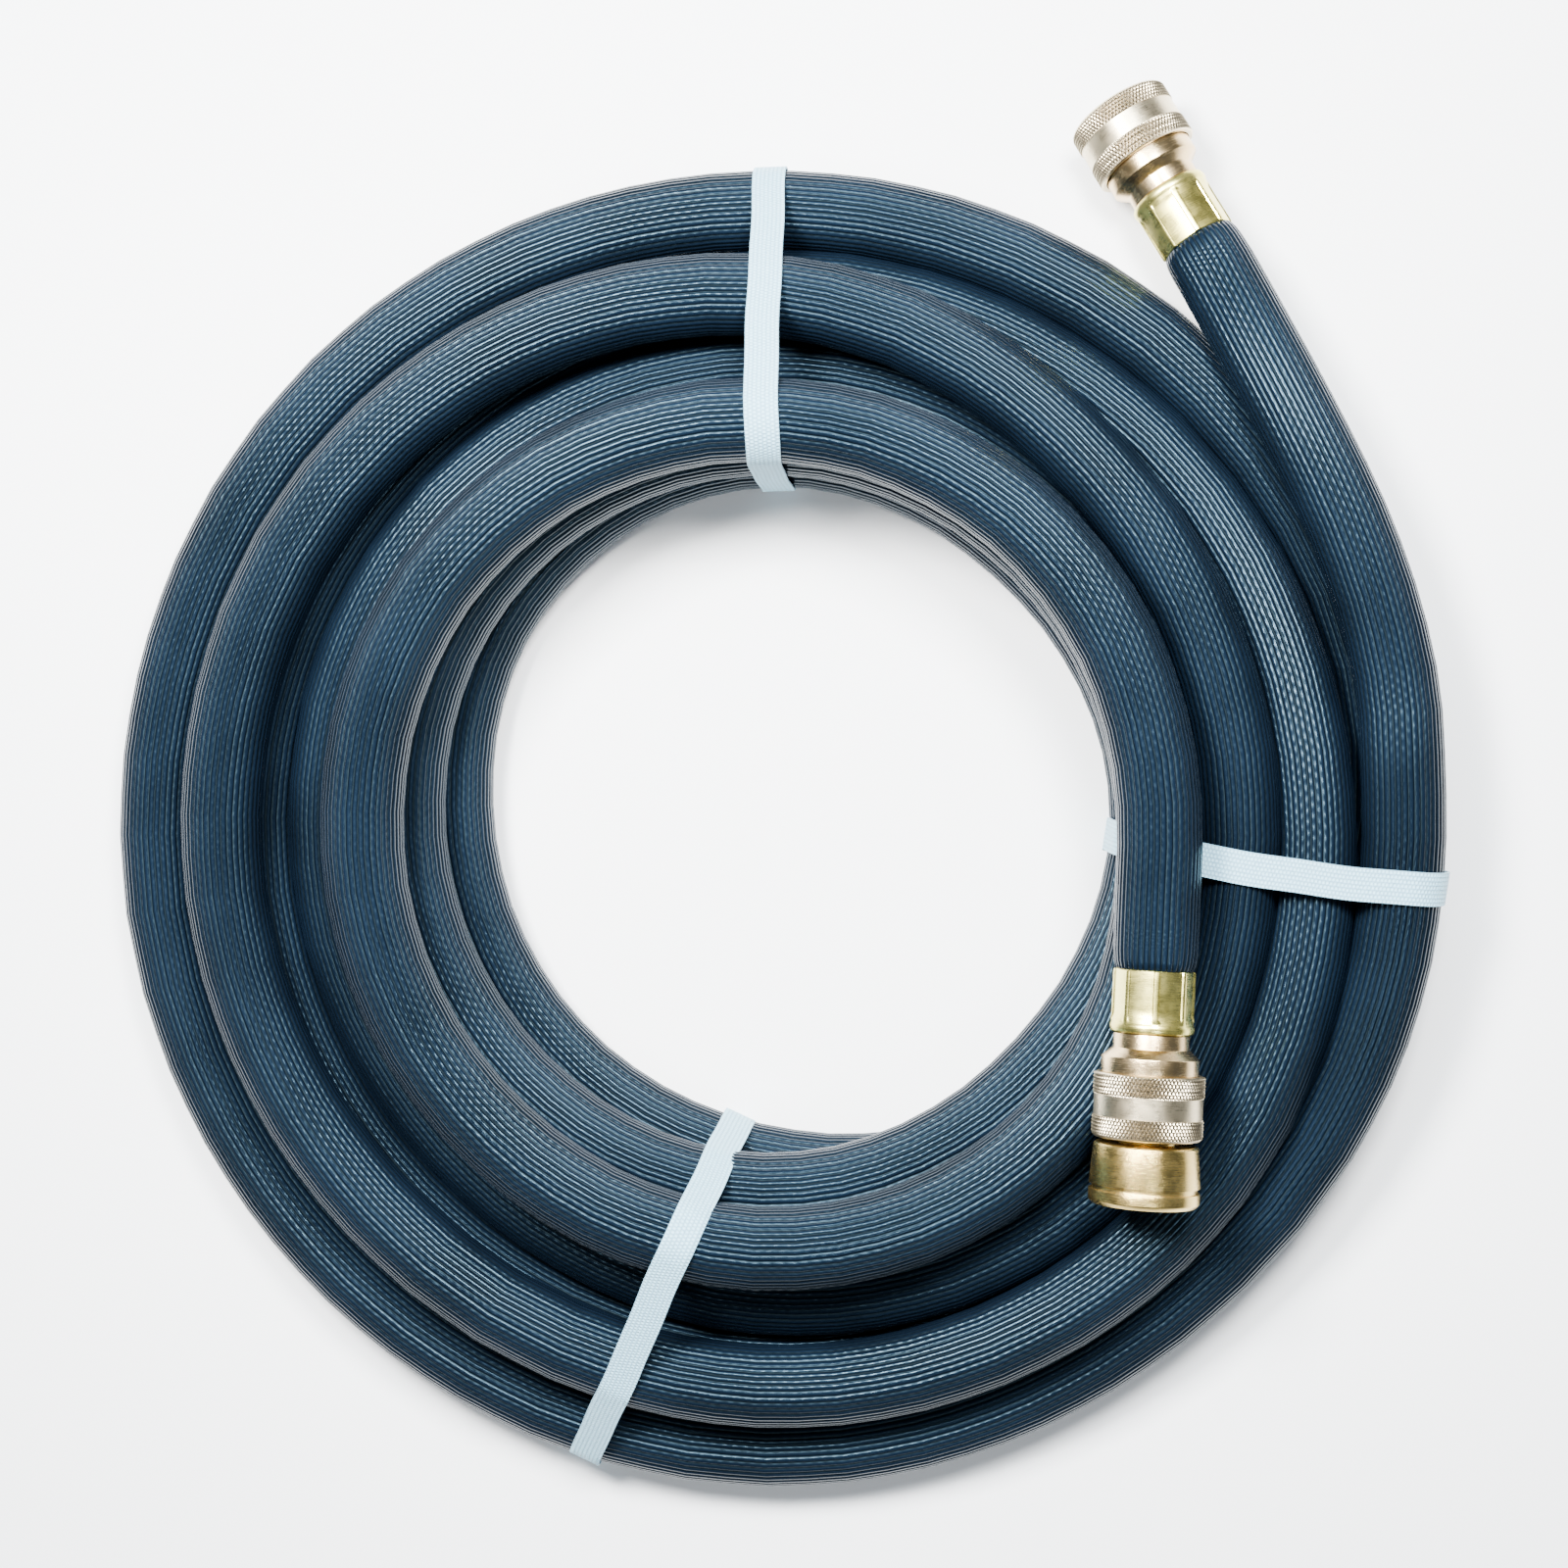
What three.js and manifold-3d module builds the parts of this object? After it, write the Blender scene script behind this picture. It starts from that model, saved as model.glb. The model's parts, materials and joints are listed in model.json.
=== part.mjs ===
// A coiled length of ribbed rubber hose, tied with three woven straps, with a crimped brass
// click-on connector on each end and a brass tap adaptor clicked into connector B.
// Millimetres, +Z up. The coil lies flat on z = 0.
import * as THREE from "three";
import * as BufferGeometryUtils from "three/addons/utils/BufferGeometryUtils.js";
import Module from "manifold-3d";

const wasm = await Module();
wasm.setup();

// ---------------------------------------------------------------- driving dimensions

const UP = new THREE.Vector3(0, 0, 1);
const GAP = 0.3; // clearance between pieces that touch on the real object
const HOSE_R = 12.25; // outside radius of the 16 mm bore hose
const LEAD_IN = 12; // straight hose behind a ferrule
const COIL_CENTRE = new THREE.Vector3(3.8, -10.3, 0);

// The coil seen in section: one outer turn on the floor, beside a block two turns high.
// The inner turns lie off centre from the outer ones, by these steps from COIL_CENTRE.
const OUTER_STEP = new THREE.Vector2(-4.5, -1.2);
const INNER_STEP = new THREE.Vector2(5, 6.5);
const LOBE_R = 191.7; // centre line of the outer turn
const COIL_INNER_R = 95;
const INNER_BLOCK_R = 145;
const OUTER_BLOCK_INNER_R = 110;
const BLOCK_OUTER_R = 172;
const BLOCK_TOP = 47.5;
const BLOCK_ROUND = 8;
const FOOT_ROUND = 4;

const STRAP_WIDTH = 10;
const STRAP_THICK = 0.8;
const STRAP_GAP = 0.4;
const STRAP_SINK = 1.6; // how far a strap's run under the coil is pressed into the rubber

// Stations along a connector's axis, from the ferrule's back face towards the mouth.
const FERRULE_LENGTH = 18;
const ROLL_BACK = 15.2;
const HOSE_END = 16;
const LIP_BACK = 16.9;
const NECK_END = 22.4;
const CONE_END = 25;
const SHOULDER_END = 31;
const COLLAR_BACK = 29.7;
const KNURL_LENGTH = 6.2;
const COLLAR_FRONT = 48.2;
const LAND_BACK = 39.2;
const RAMP_BACK = 41.5;
const COLLAR_STEP = 44.8;
const BARREL_END = 47;
const CHAMBER_BACK = 32.5;
const CIRCLIP_BACK = 45.15;
const CIRCLIP_FRONT = 45.95;
const SPRING_BACK = 32;
const SPRING_FRONT = 38.3;

// Radii of a connector.
const BARB_R = 8;
const STEM_BORE_R = 6.2;
const NECK_R = 10.9;
const SHOULDER_R = 14;
const BARREL_R = 12.2;
const CHAMBER_R = 9;
const COLLAR_R = 16;
const COLLAR_BORE_R = SHOULDER_R + GAP;
const LAND_R = BARREL_R + GAP;
const CRIMPED_R = 10.3;
const CRIMP_FLATS = 8;
const RIDGE_R = 11.75;
const RIDGE_HALF_ANGLE = THREE.MathUtils.degToRad(4);
const ROLL_R = 12.1;
const LIP_R = 9.6;
const CIRCLIP_R = 13.8;
const SPRING_R = 13.25;
const SPRING_WIRE_R = 0.45;
const SPRING_TURNS = 3;

// The collar slides back this far, and its ramp then lets each jaw out by JAW_LIFT.
const COLLAR_TRAVEL = 3.5;
const JAW_LIFT = 1;
const RAMP_SLOPE = JAW_LIFT / COLLAR_TRAVEL;
const RAMP_END_R = LAND_R + (COLLAR_STEP - RAMP_BACK) * RAMP_SLOPE;

const JAW_COUNT = 3;
const JAW_WIDTH = 6;
const JAW_INNER_R = 7.9;
const JAW_BACK = 39.6;
const JAW_FRONT = 42.8;

// Stations and radii of the tap adaptor, on connector B's axis.
const PLUG_NOSE = 33.5;
const PLUG_R = 8.55;
const PLUG_BORE_R = 4.8;
const ADAPTOR_BACK = COLLAR_FRONT + 1.45;
const ADAPTOR_FRONT = 67.3;
const SOCKET_FLOOR = 54.5;
const THREAD_MINOR_R = 12.1;
const THREAD_MAJOR_R = 13.2;
const THREAD_PITCH = 1.814;
const SEAL_BACK = 35;
const SEAL_FRONT = 37.2;
const SEAL_FLOOR_R = 6.9;
const SEAL_R = 7.85;
const SEAL_WIRE_R = 0.9;
const ADAPTOR_BACK_R = 15;
const ADAPTOR_R = 15.9;
const GROOVE_BACK = 61.6;
const GROOVE_FRONT = 63;

// ---------------------------------------------------------------- materials

const metal = (color, roughness) => new THREE.MeshStandardMaterial({ color, roughness, metalness: 1 });
const plain = (color, roughness) => new THREE.MeshStandardMaterial({ color, roughness, metalness: 0 });

const rubber = () => plain(0x23282f, 0.55);
const webbing = () => plain(0xe9eef5, 0.85);
const yellowBrass = () => metal(0xc9b45e, 0.28);
const satinBrass = () => metal(0xc2a27c, 0.3);
const goldenBrass = () => metal(0xc59d52, 0.25);
const springSteel = () => metal(0xb9bcc0, 0.3);
const sealRubber = () => plain(0x15161a, 0.6);

// ---------------------------------------------------------------- shape helpers

const profile = (pairs) => pairs.map(([along, radius]) => new THREE.Vector2(radius, along));

// A closed profile of [station, radius] pairs turned about the local Y axis.
function turned(pairs, segments = 32) {
  return new THREE.LatheGeometry(profile([...pairs, pairs[0]]), segments);
}

function toSolid(geometry) {
  const bare = geometry.index ? geometry.toNonIndexed() : geometry.clone();
  bare.deleteAttribute("normal");
  bare.deleteAttribute("uv");
  const merged = BufferGeometryUtils.mergeVertices(bare, 1e-4);
  const mesh = new wasm.Mesh({
    numProp: 3,
    vertProperties: merged.attributes.position.array,
    triVerts: Uint32Array.from(merged.index.array),
  });
  return new wasm.Manifold(mesh);
}

function toGeometry(solid) {
  const mesh = solid.getMesh();
  const geometry = new THREE.BufferGeometry();
  geometry.setAttribute("position", new THREE.BufferAttribute(mesh.vertProperties, 3));
  geometry.setIndex(new THREE.BufferAttribute(mesh.triVerts, 1));
  geometry.computeVertexNormals();
  return geometry;
}

function named(name, geometry, material) {
  const mesh = new THREE.Mesh(geometry, material);
  mesh.name = name;
  return mesh;
}

const fromCentre = (points) => points.map(([x, y, z]) => new THREE.Vector3(x, y, z).add(COIL_CENTRE));

function circlePoints(radius, count) {
  const step = (2 * Math.PI) / count;
  return Array.from({ length: count }, (_, i) => {
    return new THREE.Vector2(radius * Math.cos(i * step), radius * Math.sin(i * step));
  });
}

// ---------------------------------------------------------------- routes of the free hose

// Where each ferrule's back is, and which way the connector points from there.
const [BACK_A, BACK_B] = fromCentre([
  [127.9, 176.7, 24],
  [112.8, -39.7, 62.7],
]);
const AXIS_A = new THREE.Vector3(-0.498, 0.857, -0.14).normalize();
const AXIS_B = new THREE.Vector3(-0.051, -0.997, 0.05).normalize();

// The hose runs straight into its ferrule.
function intoFerrule(back, axis) {
  return [LEAD_IN, GAP].map((before) => back.clone().addScaledVector(axis, -before));
}

// Hand-chosen points from the coil's centre: where each loose length leaves the coil,
// then along it to its ferrule.
const ROUTE_A = fromCentre([
  [182, -42, 37.1],
  [187, 0, 37.1],
  [185.6, 40, 37.1],
  [174, 83, 37.1],
  [160, 114, 36.2],
  [149, 136, 33.6],
  [141, 152, 29.8],
]).concat(intoFerrule(BACK_A, AXIS_A));

const ROUTE_B = fromCentre([
  [62, -105.5, 60.2],
  [3, -121.7, 60.2],
  [-58, -107, 60.2],
  [-104, -62, 60.2],
  [-120.7, 3, 60.2],
  [-103, 62, 60.2],
  [-57, 105, 60.2],
  [3, 119, 60.2],
  [66, 97, 60.2],
  [103, 54, 60.4],
  [114.3, 0, 62.2],
]).concat(intoFerrule(BACK_B, AXIS_B));

// ---------------------------------------------------------------- hose

// Points on an arc about [radius, height], as [height, radius] pairs for turned().
function arc(radius, height, size, from, to, steps) {
  return Array.from({ length: steps + 1 }, (_, i) => {
    const angle = THREE.MathUtils.degToRad(from + ((to - from) * i) / steps);
    return [height + size * Math.sin(angle), radius + size * Math.cos(angle)];
  });
}

function levelRing(step, pairs) {
  const ring = turned(pairs, 48);
  ring.rotateX(Math.PI / 2);
  ring.translate(COIL_CENTRE.x + step.x, COIL_CENTRE.y + step.y, 0);
  return toSolid(ring);
}

function coilRing() {
  const round = BLOCK_ROUND;
  const outer = levelRing(OUTER_STEP, [
    [0, OUTER_BLOCK_INNER_R],
    ...arc(LOBE_R, HOSE_R, HOSE_R, -90, 90, 8),
    [2 * HOSE_R, BLOCK_OUTER_R],
    ...arc(BLOCK_OUTER_R - round, BLOCK_TOP - round, round, 0, 90, 3),
    [BLOCK_TOP, OUTER_BLOCK_INNER_R],
  ]);
  const inner = levelRing(INNER_STEP, [
    [0, COIL_INNER_R + FOOT_ROUND], [0, INNER_BLOCK_R], [BLOCK_TOP, INNER_BLOCK_R],
    ...arc(COIL_INNER_R + round, BLOCK_TOP - round, round, 90, 180, 3),
    [FOOT_ROUND, COIL_INNER_R],
  ]);
  return outer.add(inner);
}

function looseHose(route, steps) {
  const path = new THREE.CatmullRomCurve3(route, false, "centripetal");
  const section = new THREE.Shape(circlePoints(HOSE_R, 12));
  return new THREE.ExtrudeGeometry(section, { steps, extrudePath: path });
}

// A loose length, with the reduced end that the ferrule squeezes onto the barbed stem.
function hoseTail(route, steps, frame) {
  const bore = BARB_R + GAP;
  const neck = turned(
    [[-3, 0], [-3, CRIMPED_R], [HOSE_END, CRIMPED_R], [HOSE_END, bore], [0.4, bore], [0.4, 0]],
    24,
  );
  neck.applyMatrix4(frame);
  return toGeometry(toSolid(looseHose(route, steps)).add(toSolid(neck)));
}

// ---------------------------------------------------------------- straps

function convexHull(points) {
  const sorted = [...points].sort((a, b) => a.x - b.x || a.y - b.y);
  const turn = (o, a, b) => (a.x - o.x) * (b.y - o.y) - (a.y - o.y) * (b.x - o.x);
  const chain = (list) => {
    const kept = [];
    for (const point of list) {
      while (kept.length > 1 && turn(kept.at(-2), kept.at(-1), point) <= 0) kept.pop();
      kept.push(point);
    }
    return kept.slice(0, -1);
  };
  return [...chain(sorted), ...chain(sorted.reverse())];
}

// A strap is pulled tight round the coil, so it follows the hull of the round
// sections it passes. Each is a ring: its radius, height, thickness and centre.
const COIL_SECTIONS = [
  { ring: LOBE_R, height: HOSE_R + STRAP_SINK, size: HOSE_R, step: OUTER_STEP },
  { ring: BLOCK_OUTER_R - BLOCK_ROUND, height: BLOCK_TOP - BLOCK_ROUND, size: BLOCK_ROUND, step: OUTER_STEP },
  { ring: COIL_INNER_R + BLOCK_ROUND, height: BLOCK_TOP - BLOCK_ROUND, size: BLOCK_ROUND, step: INNER_STEP },
  { ring: COIL_INNER_R + FOOT_ROUND, height: FOOT_ROUND + STRAP_SINK, size: FOOT_ROUND, step: INNER_STEP },
];
const looseTurn = (ring, height, size) => ({ ring, height, size, step: new THREE.Vector2() });

// Each strap's plan line, from inside the coil to outside it, and what else it holds down.
const overEndB = looseTurn(119, 60.2, HOSE_R + 0.4);
const overEndA = looseTurn(187, 37.1, HOSE_R + 0.4);
const overLastTurn = looseTurn(121.5, 60.2, HOSE_R + 2);
const STRAPS = [
  { name: "strap_top", inner: [0.3, 94], outer: [-1.8, 201.5], also: overEndB },
  { name: "strap_right", inner: [94, -1], outer: [202, -17.6], also: overEndA },
  { name: "strap_lower", inner: [-12.9, -93], outer: [-58.1, -192.5], also: overLastTurn },
];

function strapBand(strap, slack, thick, width) {
  const start = new THREE.Vector2(...strap.inner);
  const along = new THREE.Vector2(...strap.outer).sub(start).normalize();
  const distanceTo = ({ ring, step }) => {
    const from = start.clone().sub(step);
    const lead = from.dot(along);
    return Math.sqrt(lead * lead - from.lengthSq() + ring * ring) - lead;
  };
  const outline = (grow) =>
    convexHull(
      [...COIL_SECTIONS, strap.also].flatMap((section) => {
        const middle = new THREE.Vector2(distanceTo(section), section.height);
        return circlePoints(section.size + grow, 24).map((point) => point.add(middle));
      }),
    );
  const shape = new THREE.Shape(outline(slack + thick));
  shape.holes.push(new THREE.Path(outline(slack)));
  const band = new THREE.ExtrudeGeometry(shape, { depth: width, bevelEnabled: false });
  const outward = new THREE.Vector3(along.x, along.y, 0);
  const side = new THREE.Vector3().crossVectors(outward, UP);
  band.translate(0, 0, -width / 2);
  band.applyMatrix4(new THREE.Matrix4().makeBasis(outward, UP, side));
  band.translate(COIL_CENTRE.x + start.x, COIL_CENTRE.y + start.y, 0);
  return band;
}

// The rubber gives where a strap runs under it, so the coil's underside is grooved there.
function groovedCoil() {
  const grooves = STRAPS.map((strap) =>
    toSolid(strapBand(strap, STRAP_GAP - GAP, STRAP_SINK + 2 * GAP, STRAP_WIDTH + 2 * GAP)),
  );
  return toGeometry(grooves.reduce((coil, groove) => coil.subtract(groove), coilRing()));
}

// ---------------------------------------------------------------- crimped connector

// A crimped ferrule: flats with a ridge between each pair, then a rolled front lip.
function ferrule() {
  const outline = Array.from({ length: CRIMP_FLATS }, (_, i) => (2 * Math.PI * i) / CRIMP_FLATS).flatMap(
    (angle) => [-RIDGE_HALF_ANGLE, RIDGE_HALF_ANGLE].map(
      (offset) => new THREE.Vector2(RIDGE_R * Math.cos(angle + offset), RIDGE_R * Math.sin(angle + offset)),
    ),
  );
  const shape = new THREE.Shape(outline);
  shape.holes.push(new THREE.Path(circlePoints(CRIMPED_R + GAP, 24)));
  const shell = new THREE.ExtrudeGeometry(shape, { depth: ROLL_BACK + 0.2, bevelEnabled: false });
  shell.rotateX(-Math.PI / 2);
  const roll = turned(
    [
      [ROLL_BACK, CRIMPED_R + 0.2], [ROLL_BACK, RIDGE_R - 0.4], [ROLL_BACK + 0.8, ROLL_R],
      [FERRULE_LENGTH - 0.6, ROLL_R], [FERRULE_LENGTH, ROLL_R - 0.6], [FERRULE_LENGTH, LIP_R],
      [LIP_BACK, LIP_R], [LIP_BACK, CRIMPED_R + 0.2],
    ],
  );
  return toGeometry(toSolid(shell).add(toSolid(roll)));
}

// The barbed stem, the neck, and the barrel that the collar slides on.
function connectorBody() {
  const barbs = [0.8, 4, 7.2, 10.4].flatMap((back) => [[back, BARB_R - 0.8], [back + 3.2, BARB_R]]);
  const turnedBody = turned([
    [0.8, STEM_BORE_R],
    ...barbs,
    [13.6, BARB_R - 0.6], [HOSE_END + GAP, BARB_R - 0.6],
    [HOSE_END + GAP, LIP_R - GAP], [FERRULE_LENGTH + GAP, LIP_R - GAP],
    [FERRULE_LENGTH + GAP, NECK_R], [NECK_END, NECK_R],
    [CONE_END, SHOULDER_R], [SHOULDER_END, SHOULDER_R], [SHOULDER_END, BARREL_R],
    [CIRCLIP_BACK - 0.15, BARREL_R], [CIRCLIP_BACK - 0.15, BARREL_R - 0.9],
    [CIRCLIP_FRONT + 0.15, BARREL_R - 0.9], [CIRCLIP_FRONT + 0.15, BARREL_R - 0.2],
    [BARREL_END, BARREL_R - 0.2], [BARREL_END, CHAMBER_R + 0.8], [BARREL_END - 0.8, CHAMBER_R],
    [CHAMBER_BACK, CHAMBER_R], [CHAMBER_BACK, STEM_BORE_R],
  ]);
  const slotLength = JAW_FRONT - JAW_BACK + 2 * GAP;
  const slots = jawAngles().map((angle) => {
    const slot = new THREE.BoxGeometry(JAW_WIDTH + 2 * GAP, slotLength, 8);
    slot.translate(0, (JAW_BACK + JAW_FRONT) / 2, CHAMBER_R);
    slot.rotateY(angle);
    return toSolid(slot);
  });
  return toGeometry(slots.reduce((body, slot) => body.subtract(slot), toSolid(turnedBody)));
}

const jawAngles = () => Array.from({ length: JAW_COUNT }, (_, i) => (2 * Math.PI * i) / JAW_COUNT);

// The knurled collar. Inside it, the spring pushes on the land's back, the ramp works the
// jaws, and the step rests on the circlip.
function collar() {
  return turned([
    [COLLAR_BACK, COLLAR_BORE_R], [COLLAR_BACK, COLLAR_R - 0.6], [COLLAR_BACK + 0.6, COLLAR_R],
    [COLLAR_BACK + KNURL_LENGTH, COLLAR_R], [COLLAR_BACK + KNURL_LENGTH, COLLAR_R - 0.4],
    [COLLAR_FRONT - KNURL_LENGTH, COLLAR_R - 0.4], [COLLAR_FRONT - KNURL_LENGTH, COLLAR_R],
    [COLLAR_FRONT - 1, COLLAR_R], [COLLAR_FRONT, COLLAR_R - 1], [COLLAR_FRONT, COLLAR_BORE_R],
    [COLLAR_STEP, COLLAR_BORE_R], [COLLAR_STEP, RAMP_END_R], [RAMP_BACK, LAND_R],
    [LAND_BACK, LAND_R], [LAND_BACK, COLLAR_BORE_R],
  ]);
}

// One locking jaw: its back is cut to the collar's ramp, and its tooth reaches into the bore.
function jaw(angle) {
  const rampR = (station) => LAND_R - 0.35 + (station - RAMP_BACK) * RAMP_SLOPE;
  const ring = turned([
    [JAW_BACK, JAW_INNER_R], [JAW_BACK, rampR(JAW_BACK)],
    [JAW_FRONT, rampR(JAW_FRONT)], [JAW_FRONT, JAW_INNER_R],
  ]);
  const block = new THREE.BoxGeometry(JAW_WIDTH, 2 * (JAW_FRONT - JAW_BACK), 10);
  block.translate(0, (JAW_BACK + JAW_FRONT) / 2, JAW_INNER_R + 2);
  const piece = toGeometry(toSolid(ring).intersect(toSolid(block)));
  piece.rotateY(angle);
  return piece;
}

class Helix extends THREE.Curve {
  getPoint(t) {
    const angle = 2 * Math.PI * SPRING_TURNS * t;
    const along = SPRING_BACK + (SPRING_FRONT - SPRING_BACK) * t;
    return new THREE.Vector3(SPRING_R * Math.cos(angle), along, SPRING_R * Math.sin(angle));
  }
}

function spring() {
  const wire = new THREE.Shape(circlePoints(SPRING_WIRE_R, 6));
  return new THREE.ExtrudeGeometry(wire, { steps: 20 * SPRING_TURNS, extrudePath: new Helix() });
}

// The circlip that stops the collar: a flat ring with a gap in it.
function circlip() {
  const shape = new THREE.Shape();
  shape.absarc(0, 0, CIRCLIP_R, 0.25, 2 * Math.PI - 0.25, false);
  shape.absarc(0, 0, BARREL_R - 0.6, 2 * Math.PI - 0.25, 0.25, true);
  const clip = new THREE.ExtrudeGeometry(shape, {
    depth: CIRCLIP_FRONT - CIRCLIP_BACK,
    bevelEnabled: false,
    curveSegments: 32,
  });
  clip.rotateX(-Math.PI / 2);
  clip.translate(0, CIRCLIP_BACK, 0);
  return clip;
}

// The frame of a connector: Y along its axis, X level, and Z as near upright as it can be.
function connectorFrame(back, axis) {
  const level = new THREE.Vector3().crossVectors(axis, UP).normalize();
  const upright = new THREE.Vector3().crossVectors(level, axis);
  return new THREE.Matrix4().makeBasis(level, axis, upright).setPosition(back);
}

function placed(frame, meshes) {
  const group = new THREE.Group();
  group.applyMatrix4(frame);
  group.add(...meshes);
  return group;
}

function connector(tag, frame) {
  return placed(frame, [
    named(`ferrule_${tag}`, ferrule(), yellowBrass()),
    named(`connector_body_${tag}`, connectorBody(), satinBrass()),
    named(`collar_${tag}`, collar(), satinBrass()),
    named(`collar_spring_${tag}`, spring(), springSteel()),
    named(`circlip_${tag}`, circlip(), springSteel()),
    ...jawAngles().map((angle, i) => named(`jaw_${tag}_${i + 1}`, jaw(angle), goldenBrass())),
  ]);
}

// ---------------------------------------------------------------- tap adaptor

// A plug that the jaws hold, with a threaded socket for a tap at its other end. The
// thread is drawn as rings of its pitch.
function tapAdaptor() {
  const threadCount = 6;
  const thread = Array.from({ length: threadCount }, (_, i) => {
    const crest = ADAPTOR_FRONT - 1 - i * THREAD_PITCH;
    return [[crest, THREAD_MINOR_R], [crest - THREAD_PITCH / 2, THREAD_MAJOR_R]];
  }).flat();
  return turned([
    [PLUG_NOSE, PLUG_BORE_R], [PLUG_NOSE, PLUG_R - 0.9], [PLUG_NOSE + 0.9, PLUG_R],
    [SEAL_BACK, PLUG_R], [SEAL_BACK, SEAL_FLOOR_R], [SEAL_FRONT, SEAL_FLOOR_R], [SEAL_FRONT, PLUG_R],
    [JAW_BACK - GAP, PLUG_R], [JAW_BACK - GAP, JAW_INNER_R - 0.4],
    [JAW_FRONT + 0.4, JAW_INNER_R - 0.4], [JAW_FRONT + 0.4, PLUG_R],
    [ADAPTOR_BACK, PLUG_R], [ADAPTOR_BACK, ADAPTOR_BACK_R - 0.6], [ADAPTOR_BACK + 0.6, ADAPTOR_BACK_R],
    [GROOVE_BACK, ADAPTOR_R], [GROOVE_BACK, ADAPTOR_R - 0.9], [GROOVE_FRONT, ADAPTOR_R - 0.9],
    [GROOVE_FRONT, ADAPTOR_R], [ADAPTOR_FRONT - 1.2, ADAPTOR_R], [ADAPTOR_FRONT, ADAPTOR_R - 1.2],
    [ADAPTOR_FRONT, THREAD_MINOR_R + 0.6],
    ...thread,
    [SOCKET_FLOOR, THREAD_MINOR_R], [SOCKET_FLOOR, PLUG_BORE_R],
  ]);
}

function sealRing() {
  const ring = new THREE.TorusGeometry(SEAL_R, SEAL_WIRE_R, 8, 32);
  ring.rotateX(Math.PI / 2);
  ring.translate(0, (SEAL_BACK + SEAL_FRONT) / 2, 0);
  return ring;
}

function tapWasher() {
  const back = SOCKET_FLOOR + GAP;
  return turned([[back, 5.6], [back, 11.7], [back + 2, 11.7], [back + 2, 5.6]], 32);
}

// ---------------------------------------------------------------- assembly

const FRAME_A = connectorFrame(BACK_A, AXIS_A);
const FRAME_B = connectorFrame(BACK_B, AXIS_B);

const hoseKit = new THREE.Group();
hoseKit.add(
  named("hose_coil", groovedCoil(), rubber()),
  named("hose_tail_a", hoseTail(ROUTE_A, 18, FRAME_A), rubber()),
  named("hose_tail_b", hoseTail(ROUTE_B, 40, FRAME_B), rubber()),
  ...STRAPS.map((strap) => {
    const band = strapBand(strap, STRAP_GAP, STRAP_THICK, STRAP_WIDTH);
    return named(strap.name, band, webbing());
  }),
  connector("a", FRAME_A),
  connector("b", FRAME_B),
  placed(FRAME_B, [
    named("tap_adaptor", tapAdaptor(), goldenBrass()),
    named("plug_seal", sealRing(), sealRubber()),
    named("tap_washer", tapWasher(), sealRubber()),
  ]),
);

export default hoseKit;
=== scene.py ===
import json
import math

import bpy
import numpy as np
from mathutils import Matrix, Vector


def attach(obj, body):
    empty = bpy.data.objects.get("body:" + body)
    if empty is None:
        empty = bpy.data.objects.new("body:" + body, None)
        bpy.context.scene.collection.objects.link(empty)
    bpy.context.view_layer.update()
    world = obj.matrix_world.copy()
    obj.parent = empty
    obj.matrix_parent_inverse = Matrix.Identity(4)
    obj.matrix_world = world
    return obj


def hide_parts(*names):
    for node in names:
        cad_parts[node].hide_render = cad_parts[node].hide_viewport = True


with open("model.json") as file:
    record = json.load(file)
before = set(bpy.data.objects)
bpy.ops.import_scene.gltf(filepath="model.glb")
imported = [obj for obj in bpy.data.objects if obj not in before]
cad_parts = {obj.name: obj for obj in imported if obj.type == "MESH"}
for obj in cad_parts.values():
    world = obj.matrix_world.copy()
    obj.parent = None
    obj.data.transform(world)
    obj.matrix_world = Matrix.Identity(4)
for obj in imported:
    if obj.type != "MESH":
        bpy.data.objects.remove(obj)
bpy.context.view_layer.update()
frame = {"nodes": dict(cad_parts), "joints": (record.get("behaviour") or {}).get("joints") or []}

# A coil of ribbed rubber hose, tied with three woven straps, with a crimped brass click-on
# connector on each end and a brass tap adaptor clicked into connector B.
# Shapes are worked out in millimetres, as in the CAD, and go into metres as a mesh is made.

MM = 0.001
UP = Vector((0, 0, 1))

# ---------------------------------------------------------------- sizes

COIL_CENTRE = np.array([3.8, -10.3, 0.0])
HOSE_R = 12.25
HOSE_BORE_R = 8.3
FLOOR_Z = 12.3  # centre line of hose that lies on the floor
TOUCHING = 2 * HOSE_R - 0.3  # distance between two centre lines where the rubber is pressed together
RIBS = 42
RIB_SHAPE = (0, 0.1, 1, 0.1)  # how deep the points across one rib lie, as shares of RIB_DEPTH
RIB_DEPTH = 0.3
ROUTE_STEP = 8  # spacing of the points that settle
RING_STEP = 12  # spacing of the rings of the mesh
BRAID_PITCH = 3.4  # length of one mark that the braid leaves in a rib
TWIST_PER_MM = 0.0006  # how far the ribs turn about the hose, in radians
LEAD_IN = 12  # straight length behind each ferrule

STRAP_WIDTH = 10
STRAP_HALF_THICK = 0.4
STRAP_GAP = 0.4
STRAP_LOW = 0.85  # height of a strap's middle where it runs under the coil
WARP_PITCH = 1.25
WEFT_PITCH = 1.1

# Stations along a connector from the back of its ferrule, and radii, as in the CAD.
CRIMPED_R = 10.3
HOSE_END = 16
KNURL_LENGTH = 6.2
COLLAR_BACK = 29.7
COLLAR_FRONT = 48.2
COLLAR_R = 16
JAW_BACK = 39.6
JAW_FRONT = 42.8
JAW_WIDTH = 6
CHAMBER_R = 9
JAW_COUNT = 3
THREAD_PITCH = 1.814
THREAD_RINGS = 6
THREAD_START = 66.3

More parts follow.
